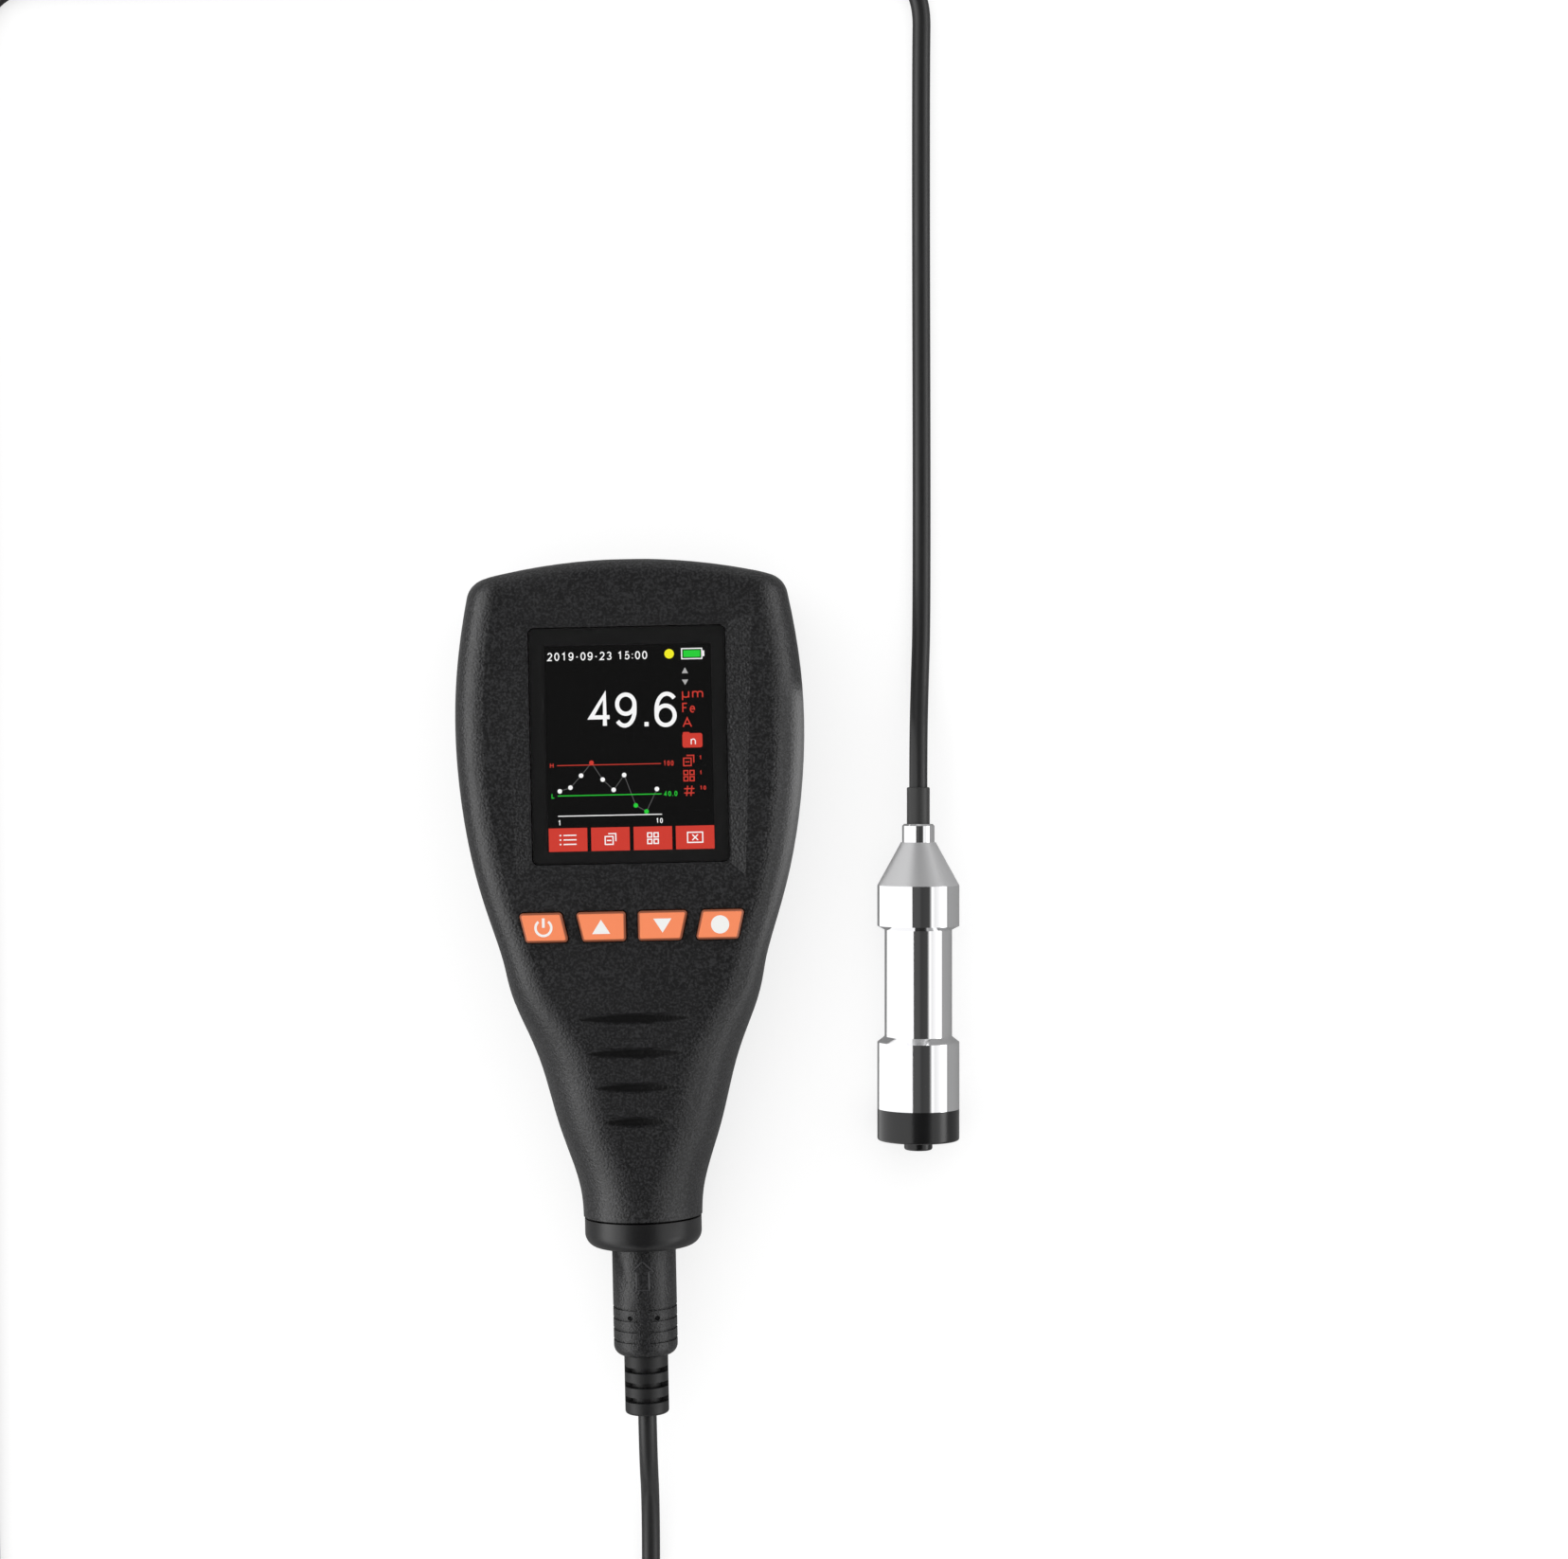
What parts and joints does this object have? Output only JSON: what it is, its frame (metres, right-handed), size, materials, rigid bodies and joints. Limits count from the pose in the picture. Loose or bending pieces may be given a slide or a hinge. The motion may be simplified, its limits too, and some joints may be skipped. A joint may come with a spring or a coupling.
{
  "type": "coating thickness gauge",
  "caption": "Handheld coating thickness gauge: a tapered paddle-shaped handset with a colour screen and a row of keys, and a stepped cylindrical probe on a plug-in lead.",
  "frame": {"origin": "on the handset's flat back, on its centre plane, under the lower end of the screen window", "axes": "+X to the right of the screen, +Y along the handset towards the top of its head, +Z out of the screen"},
  "size_m": [0.2124, 0.3583, 0.0345],
  "materials": {
    "housing": "fine-grained matte moulding",
    "window": "clear window, black behind its edge",
    "display": "lit colour screen",
    "key_orange": "satin",
    "foam": "closed-cell foam",
    "board": "solder mask",
    "gold": "gold plated",
    "steel": "bright zinc",
    "nickel": "nickel plated",
    "cell_wrap": "printed sleeve",
    "insulator": "moulded",
    "plug_plastic": "satin moulding",
    "lead_rubber": "smooth sheath",
    "probe_chrome": "polished, with a satin cone",
    "satin_metal": "satin",
    "probe_plastic": "turned, satin",
    "ferrite": "pressed and sintered",
    "copper": "enamelled wire"
  },
  "bodies": {
    "handset": {"front_cover": "housing", "rear_cover": "housing", "display_window": "window", "display_seal": "foam", "display_module": "display", "main_board": "board", "key_contacts": "gold", "cover_screws": "steel", "contact_plates": "nickel", "battery_springs": "nickel", "left_cell": "cell_wrap", "right_cell": "cell_wrap", "end_collar": "housing", "probe_socket": "insulator", "socket_pins": "gold"},
    "battery_door": {"battery_door": "housing"},
    "power_button": {"power_key": "key_orange"},
    "up_button": {"up_key": "key_orange"},
    "down_button": {"down_key": "key_orange"},
    "record_button": {"record_key": "key_orange"},
    "plug_and_probe": {"plug_shell": "plug_plastic", "plug_nose": "nickel", "plug_insert": "insulator", "strain_relief": "lead_rubber", "lead": "lead_rubber", "cable_sleeve": "lead_rubber", "probe_gland": "satin_metal", "probe_cap": "probe_chrome", "probe_barrel": "probe_chrome", "probe_base": "probe_plastic", "spring_seat": "steel", "tip_spring": "steel"},
    "tip": {"probe_tip": "probe_plastic", "tip_pole": "steel", "sensor_core": "ferrite", "sensor_coil": "copper"}
  },
  "joints": [
    {"name": "power_press", "type": "slide", "parent": "handset", "child": "power_button", "axis": [0, 0, -1], "range_m": [0, 0.0009], "stiffness_N_per_m": 900},
    {"name": "up_press", "type": "slide", "parent": "handset", "child": "up_button", "axis": [0, 0, -1], "range_m": [0, 0.0009], "stiffness_N_per_m": 900},
    {"name": "down_press", "type": "slide", "parent": "handset", "child": "down_button", "axis": [0, 0, -1], "range_m": [0, 0.0009], "stiffness_N_per_m": 900},
    {"name": "record_press", "type": "slide", "parent": "handset", "child": "record_button", "axis": [0, 0, -1], "range_m": [0, 0.0009], "stiffness_N_per_m": 900},
    {"name": "battery_door_slide", "type": "slide", "parent": "handset", "child": "battery_door", "axis": [0, 1, 0], "range_m": [0, 0.062]},
    {"name": "plug_pull", "type": "slide", "parent": "handset", "child": "plug_and_probe", "axis": [0, -1, 0], "range_m": [0, 0.012]},
    {"name": "tip_press", "type": "slide", "parent": "plug_and_probe", "child": "tip", "axis": [0.0209, 0.9998, 0], "range_m": [0, 0.002], "stiffness_N_per_m": 600, "deforming": ["tip_spring"]}
  ]
}
